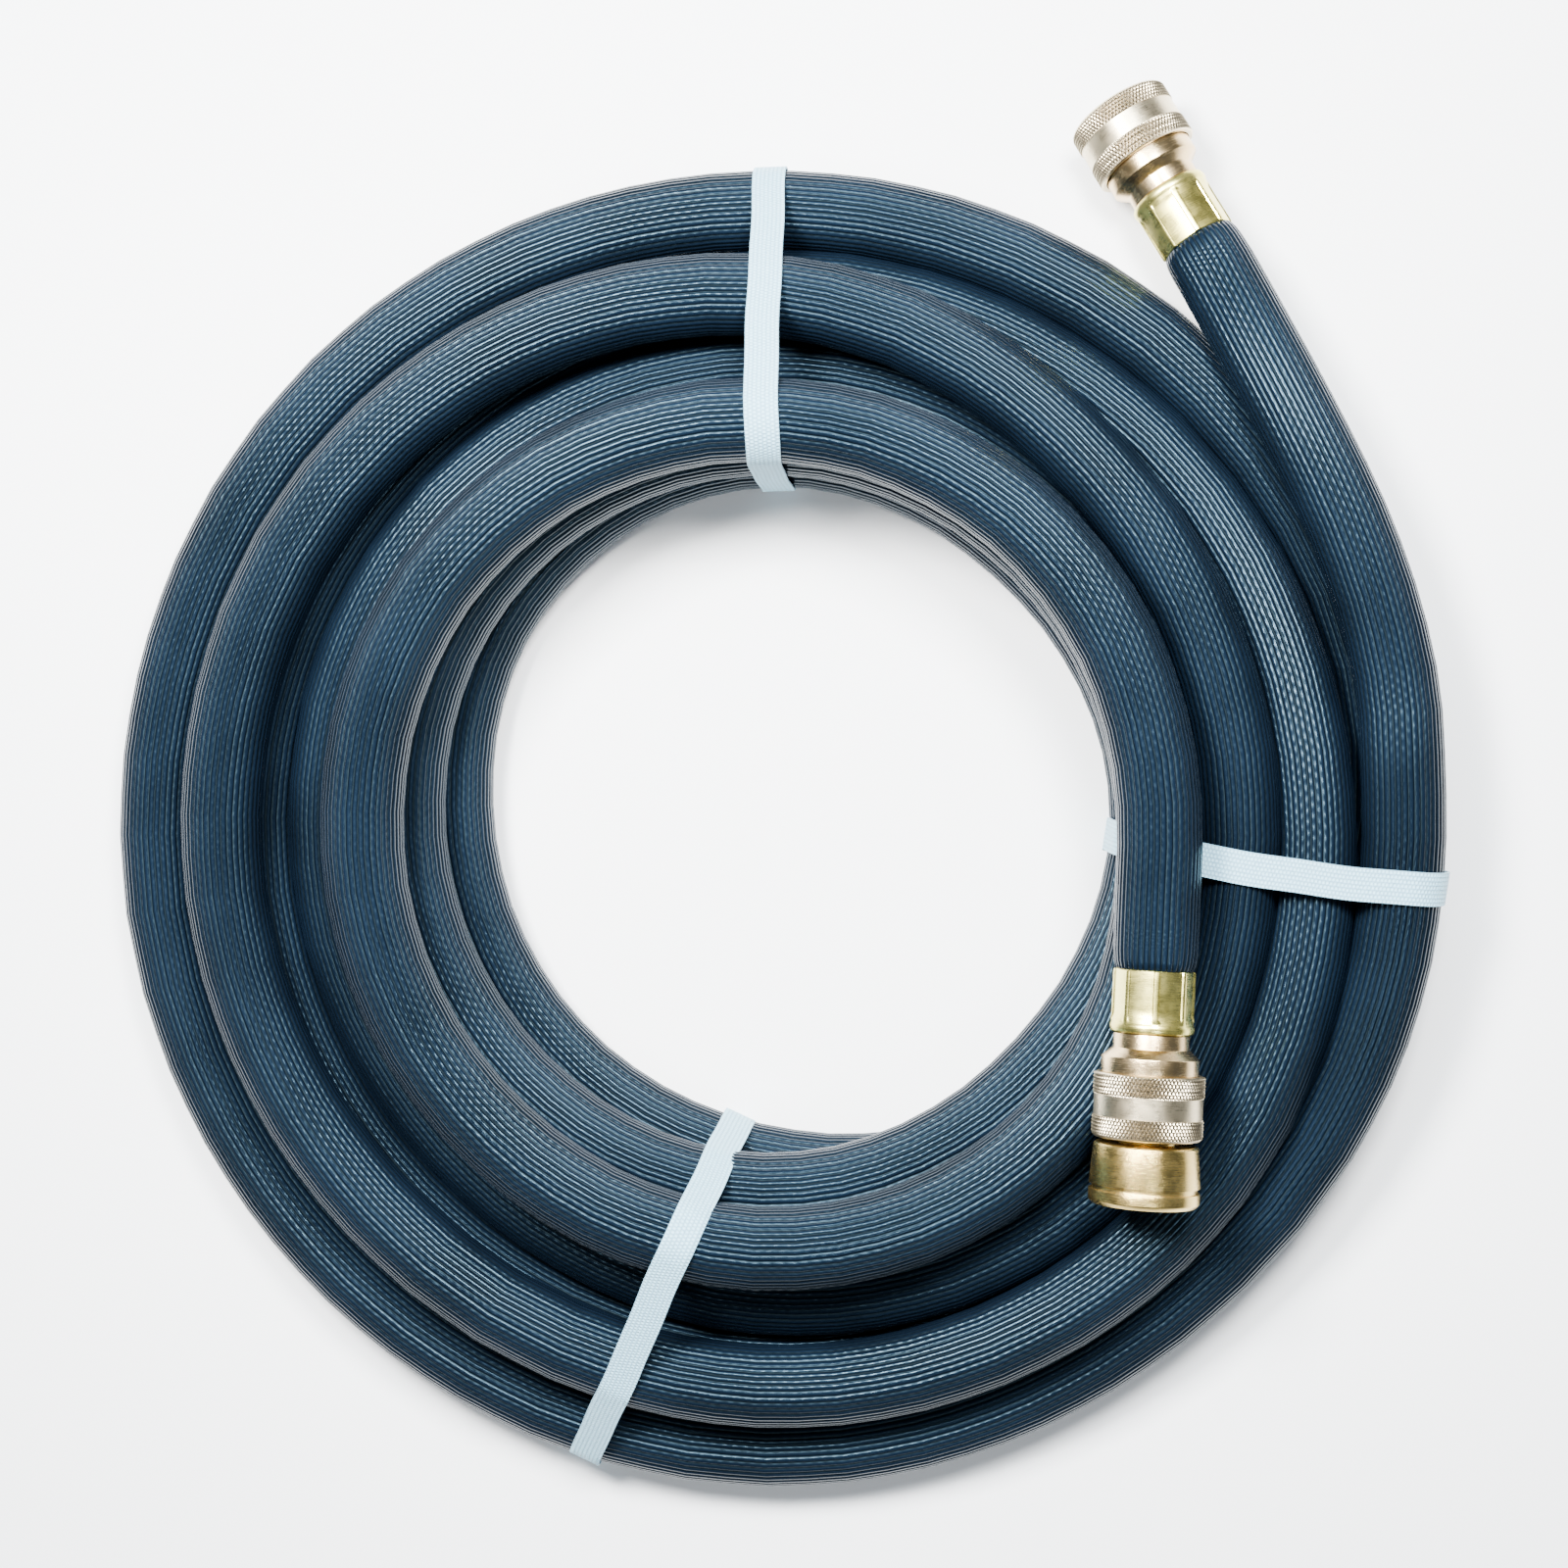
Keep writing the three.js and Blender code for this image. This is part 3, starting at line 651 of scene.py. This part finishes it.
def hose():
    ends = {tag: (FRAMES[tag][:3, 3], FRAMES[tag][:3, 1]) for tag in "ab"}
    stations = np.array([[station] for station, _, _ in REDUCED_END])
    reduced = {tag: back + stations * axis for tag, (back, axis) in ends.items()}
    middle = ROUTE[1:-1]
    centres = np.vstack([reduced["a"], middle, reduced["b"][::-1]])
    radii = [radius for _, radius, _ in REDUCED_END]
    depths = [RIB_DEPTH * share for _, _, share in REDUCED_END]
    radii = np.array(radii + [HOSE_R] * len(middle) + radii[::-1])
    depths = np.array(depths + [RIB_DEPTH] * len(middle) + depths[::-1])
    tangents = unit(ROUTE[2:] - ROUTE[:-2])
    count = len(REDUCED_END)
    tangents = np.vstack([np.tile(-ends["a"][1], (count, 1)), tangents, np.tile(ends["b"][1], (count, 1))])
    normals = ring_normals(tangents, FRAMES["a"][:3, 2])
    binormals = np.cross(tangents, normals)
    place = length_along(ROUTE)
    place = np.concatenate([np.full(count, place[0]), place[1:-1], np.full(count, place[-1])])

    columns = len(RIB_SHAPE) * RIBS
    angle = 2 * math.pi * np.arange(columns) / columns
    low = np.tile(RIB_SHAPE, RIBS)
    around = angle[None, :] + TWIST_PER_MM * place[:, None]
    radius = radii[:, None] - depths[:, None] * low[None, :]
    across = np.cos(around)[..., None] * normals[:, None, :]
    across = across + np.sin(around)[..., None] * binormals[:, None, :]
    points = centres[:, None, :] + radius[..., None] * across
    points = pressed_by_straps(points.reshape(-1, 3))

    rows = len(centres)
    faces = grid_faces(rows, columns).tolist()
    faces.append(list(range(columns))[::-1])
    faces.append([(rows - 1) * columns + j for j in range(columns)])
    uv = grid_uv(rows, columns, np.arange(columns + 1) / len(RIB_SHAPE) + 0.5, place / BRAID_PITCH)
    piece = add_mesh("ribbed_hose", points, faces, uv, RUBBER, "hose", 70)
    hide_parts("hose_coil", "hose_tail_a", "hose_tail_b")
    tail = {tag: back + HOSE_END * axis for tag, (back, axis) in ends.items()}
    return piece, np.vstack([tail["a"], ROUTE, tail["b"]])


# ---------------------------------------------------------------- turned brass

def rounded(profile, radius=0.16):
    """The closed profile with its corners rounded by three points each."""
    profile = np.array(profile, float)
    points = []
    for before, corner, after in zip(np.roll(profile, 1, 0), profile, np.roll(profile, -1, 0)):
        back, on = before - corner, after - corner
        room = min(radius, 0.4 * np.linalg.norm(back), 0.4 * np.linalg.norm(on))
        a, b = corner + unit(back) * room, corner + unit(on) * room
        points += [a, (a + b + 2 * corner) / 4, b]
    return np.array(points)


def turned_points(profile, radius_at, segments):
    """Rows of points, one for each [station, radius] of a profile. radius_at changes a row's radii."""
    angle = 2 * math.pi * np.arange(segments) / segments
    rows = []
    for k, (station, radius) in enumerate(profile):
        radii = radius_at(k, station, radius, angle)
        rows.append(np.stack([radii * np.sin(angle), np.full(segments, station), radii * np.cos(angle)], 1))
    return np.array(rows)


def turned_piece(name, tag, profile, material, body, segments=160, radius_at=None, sharp=35):
    """A closed profile turned about a connector's axis."""
    radius_at = radius_at or (lambda k, station, radius, angle: np.full(len(angle), radius))
    points = turned_points(profile, radius_at, segments)
    rows = len(points)
    points = placed(points.reshape(-1, 3), FRAMES[tag])
    around = np.linspace(0, 2 * math.pi * CRIMPED_R, segments + 1)
    uv = grid_uv(rows, segments, around, profile_lengths(profile), close_rows=True)
    faces = grid_faces(rows, segments, close_rows=True)[:, ::-1].tolist()
    return add_mesh(name, points, faces, uv, material, body, sharp)


FERRULE_SECTORS = 8
RIDGE_R = 11.87
FLAT_R = 11.05
FERRULE_OUTLINE = [
    # (angle from a crimp ridge as a share of the sector, radius)
    (-0.11, 11.35), (-0.085, 11.72), (-0.05, 11.84), (0, RIDGE_R),
    (0.05, 11.84), (0.085, 11.72), (0.11, 11.35),
]


def ferrule_outline(steps=9):
    """Angle and radius round a ferrule: a ridge left between each pair of crimping jaws, and the flats."""
    sector = 2 * math.pi / FERRULE_SECTORS
    edge, edge_r = FERRULE_OUTLINE[-1]
    shares = np.linspace(edge, 1 - edge, steps + 2)[1:-1]
    bow = 1 - ((shares - 0.5) / (0.5 - edge)) ** 2
    pairs = FERRULE_OUTLINE + [(share, edge_r - (edge_r - FLAT_R) * b) for share, b in zip(shares, bow)]
    angle = np.array([(k + share) * sector for k in range(FERRULE_SECTORS) for share, _ in pairs])
    radius = np.array([r for _ in range(FERRULE_SECTORS) for _, r in pairs])
    return angle, radius


def ferrule(tag):
    angle, crimped = ferrule_outline()
    drop = crimped - RIDGE_R
    bore = CRIMPED_R + 0.3
    # (station, radius, share of the crimped outline)
    rows = [
        (0.0, bore, 0), (0.0, 11.5, 0.9), (0.25, 11.75, 1), (1.2, 11.8, 1), (6, 11.8, 1), (11, 11.8, 1),
        (12.6, 11.8, 0.95), (13.6, 11.85, 0.7), (14.4, 11.85, 0.3), (15.0, 11.75, 0.1), (15.3, 11.8, 0),
        (15.7, 12.0, 0), (16.3, 12.1, 0), (17.0, 12.08, 0), (17.6, 11.9, 0), (18.0, 11.5, 0), (18.0, 9.75, 0),
        (17.9, 9.6, 0), (16.9, 9.6, 0), (16.9, bore, 0),
    ]
    points = []
    for station, radius, share in rows:
        radii = np.full(len(angle), radius) + share * drop * (radius > bore)
        level = np.full(len(angle), station)
        points.append(np.stack([radii * np.sin(angle), level, radii * np.cos(angle)], 1))
    points = placed(np.array(points).reshape(-1, 3), FRAMES[tag])
    count, columns = len(rows), len(angle)
    along = profile_lengths([row[:2] for row in rows])
    around = np.append(angle, angle[0] + 2 * math.pi) * CRIMPED_R
    uv = grid_uv(count, columns, around, along, close_rows=True)
    faces = grid_faces(count, columns, close_rows=True)[:, ::-1].tolist()
    name = f"crimped_ferrule_{tag}"
    piece = add_mesh(name, points, faces, uv, FERRULE_BRASS, "hose", 28)
    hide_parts(f"ferrule_{tag}")
    return piece


BODY_PROFILE = [
    (0.8, 6.2), (0.8, 7.2), (4, 8), (4, 7.2), (7.2, 8), (7.2, 7.2), (10.4, 8), (10.4, 7.2), (13.6, 8),
    (13.6, 7.4), (16.3, 7.4), (16.3, 9.3), (18.3, 9.3), (18.3, 10.9), (22.4, 10.9), (25, 14), (31, 14),
    (31, 12.2), (45, 12.2), (45, 11.3), (46.1, 11.3), (46.1, 12), (47, 12), (47, 9.8), (46.2, 9),
    (32.5, 9), (32.5, 6.2),
]


def cut_jaw_slots(piece, tag):
    """Takes the three jaw slots out of a connector body."""
    cutters = []
    half = np.array([JAW_WIDTH / 2 + 0.3, (JAW_FRONT - JAW_BACK) / 2 + 0.3, 4])
    corners = np.array([(x, y, z) for x in (-1, 1) for y in (-1, 1) for z in (-1, 1)], float) * half
    faces = [(0, 1, 3, 2), (4, 6, 7, 5), (0, 4, 5, 1), (2, 3, 7, 6), (0, 2, 6, 4), (1, 5, 7, 3)]
    for k in range(JAW_COUNT):
        turn = np.array(Matrix.Rotation(2 * math.pi * k / JAW_COUNT, 3, "Y"))
        points = (corners + [0, (JAW_BACK + JAW_FRONT) / 2, CHAMBER_R]) @ turn.T
        mesh = bpy.data.meshes.new(f"jaw_slot_{k}")
        mesh.from_pydata((placed(points, FRAMES[tag]) * MM).tolist(), [], faces)
        cutter = bpy.data.objects.new(f"jaw_slot_{k}", mesh)
        bpy.context.scene.collection.objects.link(cutter)
        cut = piece.modifiers.new(f"jaw_slot_{k}", "BOOLEAN")
        cut.operation, cut.object, cut.solver = "DIFFERENCE", cutter, "EXACT"
        cutters.append(cutter)
    shape = piece.evaluated_get(bpy.context.evaluated_depsgraph_get())
    cut_mesh = bpy.data.meshes.new_from_object(shape)
    piece.modifiers.clear()
    piece.data = cut_mesh
    for cutter in cutters:
        bpy.data.objects.remove(cutter)


def connector_body(tag):
    name = f"turned_body_{tag}"
    piece = turned_piece(name, tag, rounded(BODY_PROFILE), SATIN_BRASS, "hose", 128)
    cut_jaw_slots(piece, tag)
    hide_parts(f"connector_body_{tag}")
    return piece


def knurl_height(place, angle):
    """The share of full height at a point: two families of crossing grooves leave small pyramids."""
    around = angle * KNURLS_ROUND / (2 * math.pi)
    groove = [np.abs(2 * ((around + sign * place / KNURL_PITCH) % 1) - 1) for sign in (-1, 1)]
    return 1 - np.maximum(*groove)


def collar(tag):
    def radius_at(k, station, radius, angle):
        if radius < COLLAR_R:
            return np.full(len(angle), radius)
        return radius - KNURL_DEPTH * (1 - knurl_height(COLLAR_LENGTHS[k], angle))

    piece = turned_piece(
        f"knurled_collar_{tag}", tag, np.array(COLLAR_PROFILE), COLLAR_BRASS, f"collar_{tag}",
        KNURLS_ROUND * KNURL_SAMPLES, radius_at, 25,
    )
    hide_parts(f"collar_{tag}")
    return piece


def tap_adaptor():
    thread = []
    for k in range(THREAD_RINGS):
        crest = THREAD_START - k * THREAD_PITCH
        root = crest - THREAD_PITCH / 2
        thread += [(crest, 12.1), (crest - 0.3, 12.1), (root, 13.2), (root - 0.2, 13.2)]
    profile = [
        (33.5, 4.8), (33.5, 7.65), (34.4, 8.55), (35, 8.55), (35, 6.9), (37.2, 6.9), (37.2, 8.55),
        (39.3, 8.55), (39.3, 7.5), (43.2, 7.5), (43.2, 8.55), (49.65, 8.55), (49.65, 14.4),
        (50.25, 15), (61.6, 15.9),
        (61.6, 15), (63, 15), (63, 15.9), (66.1, 15.9), (67.3, 14.7), (67.3, 12.7),
        *thread, (54.5, 12.1), (54.5, 4.8),
    ]
    piece = turned_piece(
        "threaded_adaptor", "b", rounded(profile, 0.2), ADAPTOR_BRASS, "tap_adaptor", 160
    )
    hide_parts("tap_adaptor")
    return piece


# ---------------------------------------------------------------- the object

for tag in "ab":
    for node, material in [
        (f"collar_spring_{tag}", SPRING_STEEL),
        (f"circlip_{tag}", SPRING_STEEL),
        *[(f"jaw_{tag}_{k + 1}", JAW_BRASS) for k in range(JAW_COUNT)],
    ]:
        frame["nodes"][node].material_slots[0].material = material
for node in ("plug_seal", "tap_washer"):
    frame["nodes"][node].material_slots[0].material = SEAL_RUBBER

fittings = []
for tag in "ab":
    fittings += [ferrule(tag), connector_body(tag), collar(tag)]
    fittings += [frame["nodes"][f"{part}_{tag}"] for part in ("collar_spring", "circlip")]
    fittings += [frame["nodes"][f"jaw_{tag}_{k + 1}"] for k in range(JAW_COUNT)]
fittings += [tap_adaptor(), frame["nodes"]["plug_seal"], frame["nodes"]["tap_washer"]]

hose_piece, hose_line = hose()
for name in STRAPS:
    tape, tape_length = strap(name)


# ---------------------------------------------------------------- floor, light and camera

def floor():
    material, tree, shader = new_material("pale_floor", (0.93, 0.93, 0.93), 0.8)
    tone = noise(tree, object_place(tree), 3, detail=2)
    colour = ramp(tree, tone, [(0.3, (0.92, 0.92, 0.92)), (0.7, (0.94, 0.94, 0.94))])
    tree.links.new(colour, shader.inputs["Base Color"])
    reach = 6.0
    corners = [(x * reach, y * reach, 0) for x, y in ((-1, -1), (1, -1), (1, 1), (-1, 1))]
    mesh = bpy.data.meshes.new("floor")
    mesh.from_pydata(corners, [], [(0, 1, 2, 3)])
    mesh.materials.append(material)
    plane = bpy.data.objects.new("floor", mesh)
    bpy.context.scene.collection.objects.link(plane)


def facing(position, aim, top):
    """A matrix at position whose -Z points at aim, with top as near upward as it can be."""
    back = (Vector(position) - Vector(aim)).normalized()
    right = Vector(top).cross(back).normalized()
    matrix = Matrix((right, back.cross(right), back)).transposed().to_4x4()
    matrix.translation = position
    return matrix


def soft_light(name, azimuth, elevation, distance, size, power, colour=(1, 1, 1)):
    """A square soft box that faces the coil."""
    light = bpy.data.lights.new(name, "AREA")
    light.shape, light.size, light.energy, light.color = "SQUARE", size, power, colour
    lamp = bpy.data.objects.new(name, light)
    bpy.context.scene.collection.objects.link(lamp)
    az, el = math.radians(azimuth), math.radians(elevation)
    position = distance * Vector((math.cos(el) * math.cos(az), math.cos(el) * math.sin(az), math.sin(el)))
    lamp.matrix_world = facing(position, (0, 0, 0), UP)


def studio():
    world = bpy.data.worlds.new("studio")
    world.use_nodes = True
    background = world.node_tree.nodes["Background"]
    background.inputs["Color"].default_value = (0.75, 0.87, 1.0, 1)
    background.inputs["Strength"].default_value = 0.16
    bpy.context.scene.world = world
    soft_light("key", 128, 64, 0.8, 0.2, 31)
    soft_light("second", 60, 64, 0.85, 0.2, 21)
    soft_light("low_left", 215, 66, 1.3, 0.2, 2.5)
    soft_light("low_right", 303, 66, 1.3, 0.2, 3.5, (0.85, 0.93, 1))
    soft_light("overhead", 92, 62, 1.2, 0.5, 14, (0.7, 0.86, 1))


CAMERA_PLACE = (0.0668, 0.0127, 0.808)
CAMERA_AIM = (0.0048, 0.0027, 0)
CAMERA_LENS = 59.06
SENSOR = 36


def photo_camera():
    """Nearly straight above, a little to the right of the coil, with +Y up the picture."""
    camera = bpy.data.cameras.new("camera")
    camera.lens, camera.sensor_width = CAMERA_LENS, SENSOR
    eye = bpy.data.objects.new("camera", camera)
    bpy.context.scene.collection.objects.link(eye)
    eye.matrix_world = facing(CAMERA_PLACE, CAMERA_AIM, (0, 1, 0))
    bpy.context.scene.camera = eye


floor()
studio()
photo_camera()
